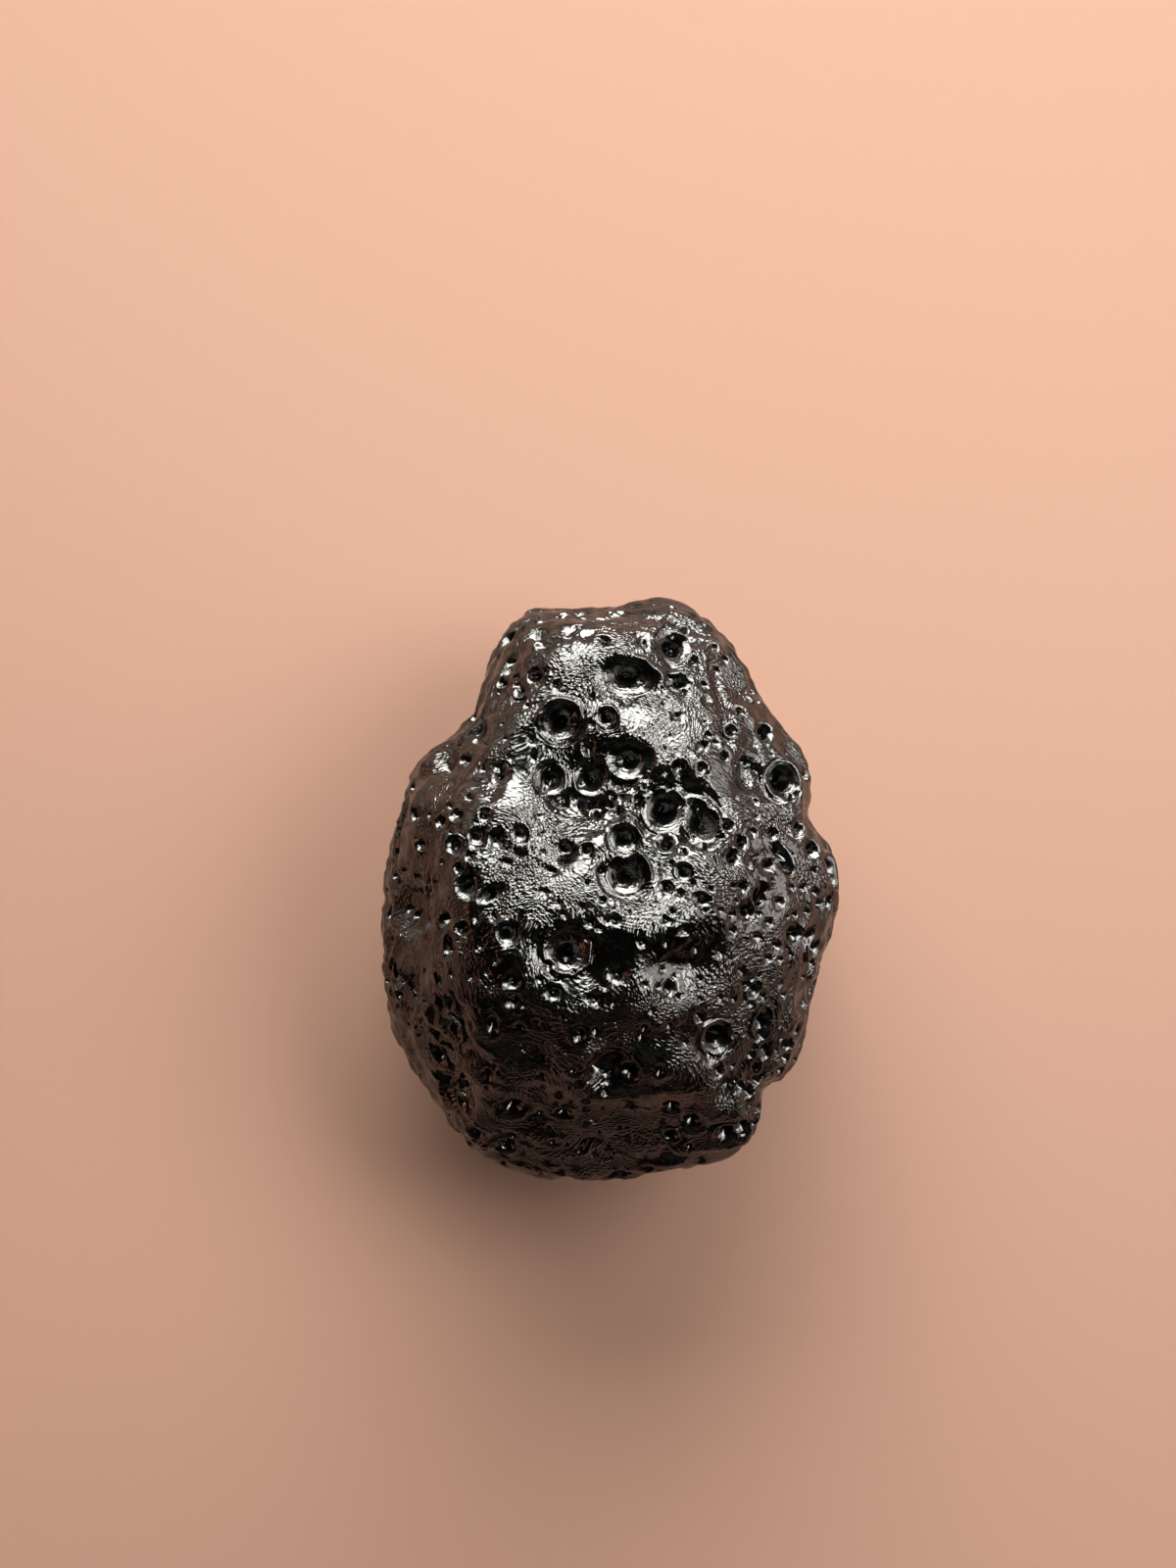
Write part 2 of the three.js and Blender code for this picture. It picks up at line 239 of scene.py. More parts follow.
def reliefTree():
    tree, given = newTree("rollSurface", [(name, "Float") for name in relief])
    position = addNode(tree, "GeometryNodeInputPosition").outputs["Position"]
    normal = addNode(tree, "GeometryNodeInputNormal").outputs["Normal"]
    swirl = noise(tree, position, given["Swirl Width"], detail=2.0, roughness=0.45, distortion=0.6)
    rise = calc(tree, "MULTIPLY", centred(tree, swirl.outputs[0]), given["Swirl Height"])
    hammer = cells(tree, position, given["Hammer Width"])
    hollow = centred(tree, hammer, hammerMiddle)
    rise = calc(tree, "MULTIPLY_ADD", hollow, given["Hammer Height"], rise)

    # furrows and lumps: the furrows run level round the stone
    bend = noise(tree, position, given["Bend Width"]).outputs["Color"]
    bend = vectorCalc(tree, "SUBTRACT", bend, (0.5, 0.5, 0.5))
    bent = vectorCalc(tree, "ADD", position, scaled(tree, bend, given["Furrow Bend"]))
    layered = vectorCalc(tree, "MULTIPLY", bent, alongLevels)
    furrow = noise(tree, layered, given["Furrow Width"]).outputs[0]
    lump = noise(tree, bent, given["Lump Width"]).outputs[0]
    grooved = calc(tree, "MULTIPLY", centred(tree, furrow), given["Furrow Height"])
    grooved = calc(tree, "MULTIPLY_ADD", centred(tree, lump), given["Lump Height"], grooved)

    # pebbles, with the ground between them sunk, more so in patches
    pebble = cells(tree, bent, given["Pebble Width"], smoothness=0.5)
    patch = noise(tree, position, given["Patch Width"]).outputs[0]
    patchy = mapped(tree, patch, low=0.35, high=0.65, toLow=0.35)
    rough = calc(tree, "MULTIPLY", calc(tree, "MULTIPLY", pebble, patchy), given["Pebble Height"])

    # these are on the flanks alone, and nothing is on the flat that the stone rests on
    upright = calc(tree, "ABSOLUTE", upwardPart(tree, normal))
    steep = mapped(tree, upright, given["Flank Start"], given["Flank Full"])
    rise = calc(tree, "MULTIPLY_ADD", calc(tree, "SUBTRACT", grooved, rough), steep, rise)
    rise = calc(tree, "MULTIPLY", rise, awayFromRest(tree, position))
    marked = store(tree, given["Geometry"], "FLOAT", "steep", steep)
    return closeTree(tree, moved(tree, marked, scaled(tree, normal, rise)), given)


def awayFromRest(tree, position):
    height = upwardPart(tree, position)
    return mapped(tree, height, restFlat["bareBelow"] * mm, restFlat["fullAbove"] * mm)


# bubble pits of the face: for each its place across and along, as shares of the half breadth and half length,
# and its radius in mm, for a long one also its stretch and its turn in degrees,
# and for a shallow dish last its depth as a share of the radius

facePits = {
    "shallowest": 0.95,  # depths of pits that aren't dishes, as shares of the radius
    "deepest": 1.25,
    "depthStep": 0.618,  # from one pit to the next, so that depths are mixed
    "rimRoll": 2.0,  # 1 is a cone with a sharp rim, and a larger power rolls the rim over more
    "rimReach": 1.12,  # share of the radius where the ground round a pit is its own again
    "rimWobble": 0.3,  # share by which a rim strays from its oval
    "wobbleWidth": 0.5,  # mm
    "dishCalm": 0.8,  # how smooth the floor of a shallow dish is
    "dishLean": 0.8,  # how much deeper a dish is on one side, the crown side where its turn is 0
    "upturn": 20,  # degrees by which a pit's axis turns from the surface normal towards straight up
    "footUpturn": 6,
    "feelers": 16,  # points round a pit from which its slope is taken
    "feelerReach": 1.2,  # share of the radius
    "lowestFelt": 0.3,  # share of the stone's height
    "ringedRadius": 0.5,  # mm, pits this wide have rings round them
    "crown": [
        (0.07, 0.73, 0.72, 1.55, -8), (0.27, 0.835, 0.62), (-0.21, 0.58, 0.74), (-0.01, 0.59, 0.4),
        (0.08, 0.71, 0.26), (0.01, 0.685, 0.2, 1.3, 10), (0.15, 0.69, 0.18), (0.3, 0.71, 0.34, 1.4, 10),
        (-0.315, 0.733, 0.3, 1.2, 0), (-0.38, 0.683, 0.26), (-0.23, 0.7, 0.19), (-0.4, 0.73, 0.16),
        (-0.46, 0.71, 0.27), (0.36, 0.785, 0.24), (0.45, 0.83, 0.22), (0.32, 0.89, 0.22),
        (0.27, 0.97, 0.16), (0.5, 0.79, 0.16), (0.52, 0.55, 0.28), (0.67, 0.545, 0.38),
        (0.42, 0.53, 0.16), (0.4, 0.5, 0.22), (0.49, 0.46, 0.19), (0.15, 0.395, 0.17),
        (0.24, 0.41, 0.17), (-0.02, 0.85, 0.2, 1.8, -20), (-0.28, 0.83, 0.17, 1.6, -10),
        (0.12, 0.87, 0.16, 1.5, -15),
    ],
    "middle": [
        (-0.18, 0.46, 1.25, 1.9, 0, 0.16), (0.3, 0.3, 1.15, 1.4, -30, 0.2), (0.08, 0.45, 0.66, 1.2, 0),
        (-0.09, 0.485, 0.28), (-0.25, 0.385, 0.55), (-0.08, 0.385, 0.6), (-0.38, 0.21, 0.33),
        (0.23, 0.28, 0.76), (0.39, 0.24, 0.6, 1.6, -58), (0.3, 0.43, 0.28), (0.39, 0.425, 0.25),
        (0.745, 0.386, 0.64), (0.8, 0.34, 0.2), (0.6, 0.4, 0.6, 1.1, 70, 0.4), (0.5, 0.235, 0.26),
        (0.695, 0.205, 0.27), (0.81, 0.22, 0.26, 1.3, 80), (0.873, 0.15, 0.36),
        (0.725, 0.14, 0.29, 2.5, -42), (0.75, 0.09, 0.2, 2.2, -32), (0.56, 0.175, 0.28),
        (0.52, 0.126, 0.33), (0.62, 0.31, 0.19), (0.61, 0.21, 0.19), (0.875, 0.075, 0.17),
        (0.06, 0.19, 0.54), (0.07, 0.075, 0.82), (0.235, 0.175, 0.4), (0.31, 0.08, 0.34),
        (0.24, 0.03, 0.26), (0.39, -0.01, 0.27, 1.3, -10), (-0.19, 0.16, 0.3), (-0.1, 0.153, 0.27),
        (0.05, 0.325, 0.15), (0.115, 0.32, 0.19), (0.03, 0.27, 0.24, 1.5, 15), (-0.06, 0.27, 0.24),
        (-0.26, 0.085, 0.2, 1.6, -15), (-0.285, 0.015, 0.16, 1.4, 0), (-0.47, 0.395, 0.25, 1.4, 0),
        (-0.53, 0.27, 0.26), (-0.44, 0.11, 0.2, 1.5, 0), (-0.66, 0.167, 0.36), (-0.565, 0.2, 0.3),
        (-0.48, 0.19, 0.3, 1.3, 80), (-0.72, 0.245, 0.28, 1.2, 80), (-0.65, 0.268, 0.25),
        (-0.62, 0.45, 0.3), (-0.83, 0.26, 0.22), (-0.86, 0.36, 0.22), (-0.81, 0.165, 0.26),
        (-0.93, 0.055, 0.2), (-0.605, 0.035, 0.42, 1.2, 70), (-0.505, 0.005, 0.28, 2.1, 33),
        (-0.64, 0.09, 0.22), (-0.71, 0.11, 0.16), (-0.435, -0.12, 0.4), (-0.63, -0.11, 0.25),
        (-0.685, -0.16, 0.24, 1.9, 90),
    ],
    "foot": [
        (-0.12, -0.19, 1.1, 1.7, 0, 0.06), (0.26, -0.2, 0.9, 1.7, -10, 0.05), (-0.18, -0.18, 0.78),
        (0.58, -0.055, 0.36), (0.64, 0, 0.3), (0.56, 0.025, 0.28), (0.72, -0.03, 0.25),
        (0.78, 0.02, 0.2), (0.7, 0.045, 0.18), (0.79, -0.07, 0.17), (0.675, -0.095, 0.22),
        (0.785, -0.135, 0.42), (0.965, -0.035, 0.3, 1.6, 90), (0.9, -0.19, 0.35, 1.3, 60),
        (0.02, -0.078, 0.25), (-0.045, -0.105, 0.2), (0.235, -0.076, 0.21),
        (0.315, -0.115, 0.19, 1.8, 0), (-0.41, -0.285, 0.34, 1.3, 0), (-0.41, -0.35, 0.42),
        (-0.235, -0.315, 0.34), (-0.065, -0.34, 0.28, 1.3, 0), (0.03, -0.26, 0.34, 1.2, 20),
        (0.25, -0.305, 0.32, 1.4, 60), (-0.5, -0.43, 0.3, 1.8, 90), (-0.13, -0.46, 0.33, 1.3, 90),
        (0.145, -0.44, 0.22, 1.3, 80), (0.38, -0.405, 0.26), (0.455, -0.475, 0.62),
        (0.65, -0.43, 0.38, 1.5, 70), (0.615, -0.32, 0.3, 1.3, 50), (0, -0.575, 0.95, 1.1, 20, 0.1),
        (0.075, -0.59, 0.46), (0.67, -0.53, 0.3, 1.3, 90), (0.63, -0.585, 0.25),
        (0.465, -0.59, 0.25, 1.3, 80), (0.21, -0.585, 0.22, 1.6, 80), (0.265, -0.715, 0.42),
        (0.35, -0.765, 0.42), (0.265, -0.82, 0.34), (0.5, -0.815, 0.48), (0.575, -0.79, 0.34),
        (0.76, -0.515, 0.33), (0.76, -0.56, 0.3), (0.56, -0.65, 0.22), (-0.52, -0.6, 0.26, 1.4, 70),
        (-0.42, -0.72, 0.5, 1.3, 40), (-0.2, -0.74, 0.3, 1.6, 10), (-0.445, -0.86, 0.42),
        (-0.575, -0.815, 0.27, 1.5, -40), (-0.745, -0.47, 0.25, 1.9, -60),
        (-0.665, -0.445, 0.28, 1.9, -55), (-0.68, -0.355, 0.24, 1.6, 90),
        (-0.73, -0.285, 0.19, 1.7, 90), (-0.67, -0.65, 0.2), (-0.64, -0.71, 0.24, 1.5, -60),
        (-0.74, -0.54, 0.3, 2, -70), (-0.92, -0.27, 0.36, 1.5, 85),
    ],
}


def pitSeeds(surface):
    places, normals, longs, radii, stretches, depths, dishes = [], [], [], [], [], [], []
    middle = (stoneLow + stoneHigh) / 2
    up = Vector((0, 0, 1))
    footRows = set(facePits["foot"])
    rows = facePits["crown"] + facePits["middle"] + facePits["foot"]
    rows.sort(key=lambda row: (len(row) > 5, -row[2]))  # wide pits first, then small ones, dishes last
    for index, row in enumerate(rows):
        across, along, radius, *more = row
        chance = index * facePits["depthStep"] % 1
        usual = facePits["shallowest"] + chance * (facePits["deepest"] - facePits["shallowest"])
        stretch, turn, depth = (*more, *(1, 0, usual)[len(more):])  # a short row is a round pit
        spot = Vector((across * stoneSize.x / 2, along * stoneSize.y / 2, stoneSize.z)) + middle
        direction = Vector((math.cos(math.radians(turn)), math.sin(math.radians(turn)), 0))
        side = Vector((-direction.y, direction.x, 0))
        reach = facePits["feelerReach"] * radius * mm
        felt = []
        for step in range(facePits["feelers"]):
            angle = math.tau * step / facePits["feelers"]
            lengthwise = direction * (reach * stretch * math.cos(angle))
            start = spot + lengthwise + side * (reach * math.sin(angle))
            hit = surface.ray_cast(start, -up)[0]
            if hit and hit.z > stoneSize.z * facePits["lowestFelt"]:
                felt.append(hit)
        if len(felt) < facePits["feelers"] / 2:
            continue
        felt = np.array(felt)
        heart = felt.mean(0)
        normal = Vector(np.linalg.svd(felt - heart)[2][2])  # of the plane nearest to the points
        normal *= math.copysign(1, normal.z)
        tilt = normal.angle(up)
        upturn = math.radians(facePits["footUpturn" if row in footRows else "upturn"])
        normal = normal.slerp(up, min(1, upturn / tilt) if tilt else 1)
        places.append(heart)
        normals.append(normal)
        longs.append((direction - normal * direction.dot(normal)).normalized())
        radii.append(radius * mm)
        stretches.append(stretch)
        depths.append(depth)
        dishes.append(len(more) > 2)
    seeds = bpy.data.meshes.new("pitSeeds")
    seeds.from_pydata(places, [], [])
    for name, kind, key, values in (
        ("pitNormal", "FLOAT_VECTOR", "vector", normals),
        ("pitLong", "FLOAT_VECTOR", "vector", longs),
        ("pitRadius", "FLOAT", "value", radii),
        ("pitStretch", "FLOAT", "value", stretches),
        ("pitDepth", "FLOAT", "value", depths),
        ("pitDish", "FLOAT", "value", dishes),
    ):
        layer = seeds.attributes.new(name, kind, "POINT")
        layer.data.foreach_set(key, np.array(values, dtype=np.float32).ravel())
    holder = bpy.data.objects.new("pitSeeds", seeds)
    scene.collection.objects.link(holder)
    print("face pits placed,", len(places), "of", len(rows))
    return holder


pitReach = 1.6  # radii from its middle within which a pit cuts
farGap = 10.0  # mm, rim gap where no wide pit is near


def funnelDepth(tree, share, roll):
    # depth at a share of the radius: the rim rolls over and falls ever steeper to the middle
    inside = calc(tree, "MAXIMUM", opposite(tree, share), 0.0)
    return calc(tree, "POWER", inside, roll)


def carveTree():
    tree, given = newTree("carveFacePits", [
        ("Pits", "Object"), ("Count", "Int"), ("Rim Roll", "Float"), ("Rim Reach", "Float"),
        ("Rim Wobble", "Float"), ("Wobble Width", "Float"), ("Dish Calm", "Float"), ("Dish Lean", "Float"),
        ("Ringed Radius", "Float"),
    ])
    seeds = addNode(tree, "GeometryNodeObjectInfo", {"Object": given["Pits"]}).outputs["Geometry"]
    start = addNode(tree, "GeometryNodeRepeatInput", {})
    end = addNode(tree, "GeometryNodeRepeatOutput", {})
    start.pair_with_output(end)
    feed(tree, start.inputs["Iterations"], given["Count"])
    marked = store(tree, given["Geometry"], "FLOAT", "rimGap", farGap)
    marked = store(tree, marked, "FLOAT", "calm", 0.0)
    feed(tree, start.inputs["Geometry"], store(tree, marked, "FLOAT", "inPit", 0.0))

    def ofPit(kind, name):
        return picked(tree, seeds, kind, stored(tree, kind, name), start.outputs["Iteration"])

    position = addNode(tree, "GeometryNodeInputPosition").outputs["Position"]
    centre = picked(tree, seeds, "FLOAT_VECTOR", position, start.outputs["Iteration"])
    normal = ofPit("FLOAT_VECTOR", "pitNormal")
    long = ofPit("FLOAT_VECTOR", "pitLong")
    radius = ofPit("FLOAT", "pitRadius")
    offset = vectorCalc(tree, "SUBTRACT", position, centre)
    height = vectorCalc(tree, "DOT_PRODUCT", offset, normal)
    lengthwise = vectorCalc(tree, "DOT_PRODUCT", offset, long)
    lengthwise = calc(tree, "DIVIDE", lengthwise, ofPit("FLOAT", "pitStretch"))
    crosswise = vectorCalc(tree, "DOT_PRODUCT", offset, vectorCalc(tree, "CROSS_PRODUCT", normal, long))
    square = calc(tree, "MULTIPLY_ADD", lengthwise, lengthwise, calc(tree, "POWER", crosswise, 2))
    distance = calc(tree, "SQRT", square)
    uneven = centred(tree, noise(tree, position, given["Wobble Width"]).outputs[0])
    uneven = calc(tree, "MULTIPLY_ADD", uneven, given["Rim Wobble"], 1.0)
    share = calc(tree, "MULTIPLY", calc(tree, "DIVIDE", distance, radius), uneven)
    deep = calc(tree, "MULTIPLY", radius, ofPit("FLOAT", "pitDepth"))
    fall = calc(tree, "MULTIPLY", funnelDepth(tree, share, given["Rim Roll"]), deep)
    floor = calc(tree, "MULTIPLY", fall, -1.0)

    # fresh ground takes the pit's own form, and a pit that is there already, where inPit is over a half,
    # is only cut deeper
    reach = calc(tree, "MULTIPLY", radius, pitReach)
    near = calc(tree, "LESS_THAN", calc(tree, "ABSOLUTE", height), reach)
    pitted = calc(tree, "GREATER_THAN", stored(tree, "FLOAT", "inPit"), 0.5)
    fresh = calc(tree, "MULTIPLY", near, opposite(tree, pitted))
    shaped = calc(tree, "MULTIPLY", fresh, mapped(tree, share, given["Rim Reach"], 1.0))
    inside = calc(tree, "LESS_THAN", share, 1.0)
    deeper = calc(tree, "MULTIPLY", calc(tree, "MULTIPLY", near, pitted), inside)
    level = blended(tree, shaped, height, floor)
    level = blended(tree, deeper, level, calc(tree, "MINIMUM", height, floor))

    # a dish sinks the ground as it is
    isDish = ofPit("FLOAT", "pitDish")
    bowl = calc(tree, "MAXIMUM", opposite(tree, calc(tree, "POWER", share, 2)), 0.0)
    lean = calc(tree, "MULTIPLY_ADD", calc(tree, "DIVIDE", crosswise, radius), given["Dish Lean"], 1.0)
    sunk = calc(tree, "MULTIPLY", calc(tree, "MULTIPLY", bowl, lean), calc(tree, "MULTIPLY", deep, near))
    level = blended(tree, isDish, level, calc(tree, "SUBTRACT", height, sunk))
    change = calc(tree, "SUBTRACT", level, height)
    carved = moved(tree, start.outputs["Geometry"], scaled(tree, normal, change))

    # gap to the nearest wide pit's rim in mm, for the rings in the glass
    gap = calc(tree, "DIVIDE", calc(tree, "SUBTRACT", distance, radius), mm)
    narrow = calc(tree, "LESS_THAN", radius, given["Ringed Radius"])
    ringless = calc(tree, "MAXIMUM", opposite(tree, near), calc(tree, "MAXIMUM", narrow, isDish))
    gap = calc(tree, "MULTIPLY_ADD", ringless, farGap, gap)
    nearest = calc(tree, "MINIMUM", gap, stored(tree, "FLOAT", "rimGap"))
    marked = store(tree, carved, "FLOAT", "rimGap", nearest)

    # marks where the pits are, and that the floors of pits and dishes are smooth
    within = calc(tree, "MULTIPLY", mapped(tree, share, low=1.05, high=0.85), near)
    within = calc(tree, "MULTIPLY", within, opposite(tree, isDish))
    deepest = calc(tree, "MAXIMUM", within, stored(tree, "FLOAT", "inPit"))
    marked = store(tree, marked, "FLOAT", "inPit", deepest)
    inDish = calc(tree, "MULTIPLY", near, isDish)
    calm = calc(tree, "MULTIPLY", mapped(tree, share, low=1.05, high=0.7), inDish)
    calm = calc(tree, "MAXIMUM", calc(tree, "MULTIPLY", calm, given["Dish Calm"]), within)
    calmest = calc(tree, "MAXIMUM", calm, stored(tree, "FLOAT", "calm"))
    feed(tree, end.inputs["Geometry"], store(tree, marked, "FLOAT", "calm", calmest))
    return closeTree(tree, end.outputs["Geometry"], given)


# scattered pits, in mm: wider ones on the flanks and the back, small ones all round,
# with a rareness that makes the largest of them fewer

flankPits = {
    "Spacing": 1.0, "Density": 1.2, "Smallest": 0.22, "Largest": 0.52, "Rareness": 1.7,
    "Depth": 1.2, "Rim Roll": 1.7,  # depth as a share of the radius
    "Cluster Width": 3.0, "Highest": 0.5,  # upward part of the surface normal where they end
    "Seed": 7,
}

smallPits = {
    "Spacing": 0.44, "Density": 3.8, "Smallest": 0.11, "Largest": 0.24, "Rareness": 1.5,
    "Depth": 1.0, "Rim Roll": 1.8,
    "Cluster Width": 2.2, "Highest": 1.2,  # above 1, so they end nowhere
    "Seed": 12,
}


def scatterTree(name, values):
    tree, given = newTree(name, [(label, "Int" if label == "Seed" else "Float") for label in values])
    position = addNode(tree, "GeometryNodeInputPosition").outputs["Position"]
    surfaceNormal = addNode(tree, "GeometryNodeInputNormal").outputs["Normal"]
    allowed = calc(tree, "LESS_THAN", upwardPart(tree, surfaceNormal), given["Highest"])
    cluster = noise(tree, position, given["Cluster Width"]).outputs[0]
    crowd = mapped(tree, cluster, low=0.35, high=0.6, toLow=0.2)
    share = calc(tree, "MULTIPLY", calc(tree, "MULTIPLY", crowd, allowed), awayFromRest(tree, position))
    spread = addNode(tree, "GeometryNodeDistributePointsOnFaces", {
        "Mesh": given["Geometry"], "Distance Min": given["Spacing"], "Density Max": given["Density"],
        "Density Factor": share, "Seed": given["Seed"],
    }, distribute_method="POISSON")
    chance = addNode(tree, "FunctionNodeRandomValue", data_type="FLOAT")
    for socket, value in ((2, 0.0), (3, 1.0), ("Seed", given["Seed"])):  # 2 and 3 are the float's limits
        feed(tree, chance.inputs[socket], value)
    size = calc(tree, "POWER", chance.outputs[1], given["Rareness"])
    size = mapped(tree, size, 0.0, 1.0, given["Smallest"], given["Largest"])
    points = store(tree, spread.outputs["Points"], "FLOAT", "pitRadius", size)
    points = store(tree, points, "FLOAT_VECTOR", "pitNormal", spread.outputs["Normal"])
    nearest = addNode(tree, "GeometryNodeSampleNearest", {"Geometry": points}).outputs["Index"]
    centre = picked(tree, points, "FLOAT_VECTOR", position, nearest)
    normal = picked(tree, points, "FLOAT_VECTOR", stored(tree, "FLOAT_VECTOR", "pitNormal"), nearest)
    radius = picked(tree, points, "FLOAT", stored(tree, "FLOAT", "pitRadius"), nearest)
    offset = vectorCalc(tree, "SUBTRACT", position, centre)
    height = vectorCalc(tree, "DOT_PRODUCT", offset, normal)
    level = vectorCalc(tree, "LENGTH", vectorCalc(tree, "SUBTRACT", offset, scaled(tree, normal, height)))
    share = calc(tree, "DIVIDE", level, radius)
    reach = calc(tree, "MULTIPLY", radius, pitReach)
    near = calc(tree, "LESS_THAN", vectorCalc(tree, "LENGTH", offset), reach)
    deep = calc(tree, "MULTIPLY", calc(tree, "MULTIPLY", radius, given["Depth"]), near)
    drop = calc(tree, "MULTIPLY", funnelDepth(tree, share, given["Rim Roll"]), deep)
    sunk = moved(tree, given["Geometry"], scaled(tree, normal, calc(tree, "MULTIPLY", drop, -1.0)))
    within = calc(tree, "MULTIPLY", mapped(tree, share, low=1.1, high=0.9), near)
    calmest = calc(tree, "MAXIMUM", within, stored(tree, "FLOAT", "calm"))
    return closeTree(tree, store(tree, sunk, "FLOAT", "calm", calmest), given)


# black glass: nearly black, glossy, finely dimpled, streaked and ringed, with widths and depths in mm

glassLook = {
    "darkColor": (0.0002, 0.00018, 0.00016, 1),
    # brown of the flanks: partly the glass's own tint, partly a painted reflection of warm surroundings
    "brownTintAndReflection": (0.0032, 0.0009, 0.0004, 1),
    "tintAndReflectionWidth": 2.5,  # of the brown patches on the flanks, partly the glass's own brown and partly a painted warm reflection
    "ior": 1.5,
    "roughLow": 0.12,
    "roughHigh": 0.24,
    "etchWidth": 0.7,  # of the duller patches
    "flowWidth": 2.4,
    "flowStretch": (0.6, 1.0, 1.0),
    "flowLines": 26,
    "flowDepth": 0.002,
    "waverWidth": 0.8,
    "waverTurns": 2.0,  # how far flow lines waver, in lines
    "swirlWidth": 2.2,  # of the swirls that bend grain and dimples, and how far they do
    "dimpleWidth": 0.125,
    "dimpleDepth": 0.026,
    "dimplePatch": 1.3,  # width of the patches with deeper dimples
    "patchGain": 2.6,
    "grainWidth": 0.095,
    "grainStreak": (0.5, 1.0, 0.8),
    "grainDepth": 0.016,
    "flankShare": 0.5,  # how much of the fine relief the flanks have
    "ringPitch": 0.16,
    "ringReach": 0.5,
    "ringDepth": 0.005,
    "calmPit": 0.8,  # how much of the fine relief is lost in a pit
}


def makeGlass():
    glass = bpy.data.materials.new("blackGlass")
    glass.use_nodes = True
    tree = glass.node_tree
    shader = tree.nodes["Principled BSDF"]
    place = tree.nodes.new("ShaderNodeTexCoord").outputs["Object"]
    shader.inputs["IOR"].default_value = glassLook["ior"]

    # attributes that the trees leave on the stone
    steep = addNode(tree, "ShaderNodeAttribute", attribute_name="steep").outputs["Fac"]
    calm = addNode(tree, "ShaderNodeAttribute", attribute_name="calm").outputs["Fac"]
    gap = addNode(tree, "ShaderNodeAttribute", attribute_name="rimGap").outputs["Fac"]

    # brown patches on the flanks, partly the glass's own brown at its thin edges and partly a painted
    # reflection of warm surroundings, and uneven gloss
    tintAndReflection = noise(tree, place, glassLook["tintAndReflectionWidth"] * mm, detail=3.0).outputs[0]
    tintedAndReflecting = calc(tree, "MULTIPLY", mapped(tree, tintAndReflection, low=0.4, high=0.65), steep)
    tintAndReflectionMix = addNode(tree, "ShaderNodeMix", data_type="RGBA")
    feed(tree, tintAndReflectionMix.inputs["Factor"], tintedAndReflecting)
    feed(tree, tintAndReflectionMix.inputs[6], glassLook["darkColor"])  # 6, 7 and 2 are the colour sockets
    feed(tree, tintAndReflectionMix.inputs[7], glassLook["brownTintAndReflection"])
    feed(tree, shader.inputs["Base Color"], tintAndReflectionMix.outputs[2])
    etch = noise(tree, place, glassLook["etchWidth"] * mm, detail=4.0, roughness=0.6).outputs[0]
    rough = mapped(tree, etch, 0.35, 0.68, glassLook["roughLow"], glassLook["roughHigh"])
    feed(tree, shader.inputs["Roughness"], rough)

    # flow lines follow the levels of a slow noise, and the grain is streaked along swirls
    slow = vectorCalc(tree, "MULTIPLY", place, glassLook["flowStretch"])
    flow = noise(tree, slow, glassLook["flowWidth"] * mm, detail=1.5, roughness=0.4, distortion=0.3)
    waver = noise(tree, place, glassLook["waverWidth"] * mm, detail=2.0).outputs[0]
    stray = calc(tree, "MULTIPLY", waver, glassLook["waverTurns"])
    phase = calc(tree, "MULTIPLY_ADD", flow.outputs[0], glassLook["flowLines"], stray)
    lines = calc(tree, "SINE", calc(tree, "MULTIPLY", phase, math.tau))
    swirl = noise(tree, place, glassLook["swirlWidth"] * mm).outputs["Color"]
    bent = vectorCalc(tree, "ADD", place, scaled(tree, swirl, glassLook["swirlWidth"] * mm))
    streaked = vectorCalc(tree, "MULTIPLY", bent, glassLook["grainStreak"])
    grain = noise(tree, streaked, glassLook["grainWidth"] * mm, detail=2.5, roughness=0.55).outputs[0]

    # dimples are bowls, deeper in patches
    nearest = addNode(tree, "ShaderNodeTexVoronoi", {
        "Vector": bent, "Scale": 1 / (glassLook["dimpleWidth"] * mm)}).outputs["Distance"]
    dimples = calc(tree, "MULTIPLY", nearest, nearest)
    patch = noise(tree, place, glassLook["dimplePatch"] * mm, detail=2.0).outputs[0]
    gain = mapped(tree, patch, low=0.45, high=0.62, toLow=0.7, toHigh=glassLook["patchGain"])
    dimples = calc(tree, "MULTIPLY", dimples, gain)

    # rings round the wide pits
    phase = calc(tree, "ADD", calc(tree, "DIVIDE", gap, glassLook["ringPitch"]), waver)
    ring = calc(tree, "SINE", calc(tree, "MULTIPLY", phase, math.tau))
    fade = mapped(tree, calc(tree, "ABSOLUTE", gap), glassLook["ringReach"], 0.0)
    ring = calc(tree, "MULTIPLY", ring, fade)

    height = calc(tree, "MULTIPLY", grain, glassLook["grainDepth"])
    height = calc(tree, "MULTIPLY_ADD", lines, glassLook["flowDepth"], height)
    height = calc(tree, "MULTIPLY_ADD", dimples, glassLook["dimpleDepth"], height)
    onFlank = mapped(tree, steep, 0.0, 1.0, toLow=1.0, toHigh=glassLook["flankShare"])
    height = calc(tree, "MULTIPLY", height, onFlank)
    left = opposite(tree, calc(tree, "MULTIPLY", calm, glassLook["calmPit"]))
    height = calc(tree, "MULTIPLY", height, left)
    height = calc(tree, "MULTIPLY_ADD", ring, glassLook["ringDepth"], height)
    bump = addNode(tree, "ShaderNodeBump", {"Height": height, "Distance": mm})
    feed(tree, shader.inputs["Normal"], bump.outputs["Normal"])
    return glass


# the finished stone

meshBudget = {
    "mostTriangles": 198000,
    "lowerTriangles": 50000,  # of these, on the lower half
    "halfLevel": 0.42,  # share of the height where the lower half ends
}


